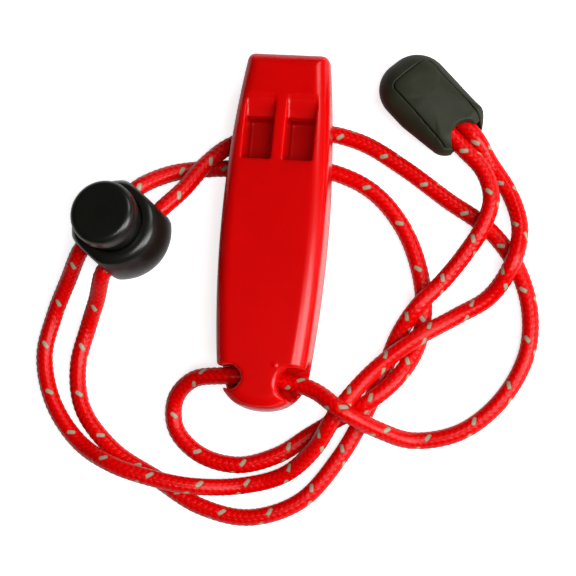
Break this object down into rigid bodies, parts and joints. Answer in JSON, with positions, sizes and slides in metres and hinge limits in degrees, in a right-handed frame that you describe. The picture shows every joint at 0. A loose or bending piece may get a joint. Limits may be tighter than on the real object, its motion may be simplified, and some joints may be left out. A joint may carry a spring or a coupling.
{
  "type": "training whistle",
  "caption": "Slim red whistle with two windows and two chambers, threaded on a braided neck cord with a sprung ball cord lock and a hinged cord end.",
  "frame": {"origin": "bottom centre of the whistle's own box; the whistle lies on the flat of its back", "axes": "+Y towards the whistle's mouth end, +Z towards its front with the windows, +X to the right seen from the front with the mouth end up"},
  "size_m": [0.0942, 0.0897, 0.0222],
  "materials": {
    "whistle_plastic": "polished injection-moulded red ABS",
    "braided_cord": "red braided polyester with grey reflective yarns",
    "lock_plastic": "satin near-black moulded acetal",
    "spring_steel": "bright drawn spring wire",
    "end_plastic": "matt dark olive-grey moulded nylon"
  },
  "bodies": {
    "lanyard": {"cord": "braided_cord", "lock_barrel": "lock_plastic", "lock_spring": "spring_steel", "cord_end_body": "end_plastic"},
    "whistle": {"front_shell": "whistle_plastic", "back_cover": "whistle_plastic"},
    "button": {"lock_button": "lock_plastic"},
    "end_lid": {"cord_end_lid": "end_plastic"}
  },
  "joints": [
    {"name": "whistle_swing", "type": "hinge", "parent": "lanyard", "child": "whistle", "pos_m": [0, -0.0273, 0.0072], "axis": [1, 0, 0], "range_deg": [0, 100]},
    {"name": "button_press", "type": "slide", "parent": "lanyard", "child": "button", "axis": [0.0915, -0.137, -0.9863], "range_m": [0, 0.003], "stiffness_N_per_m": 600, "springref_m": -0.003, "deforming": ["lock_spring"]},
    {"name": "lid_hinge", "type": "hinge", "parent": "lanyard", "child": "end_lid", "pos_m": [0.02403, 0.02949, 0.00698], "axis": [-0.6544, -0.6824, 0.3256], "range_deg": [0, 90]}
  ]
}
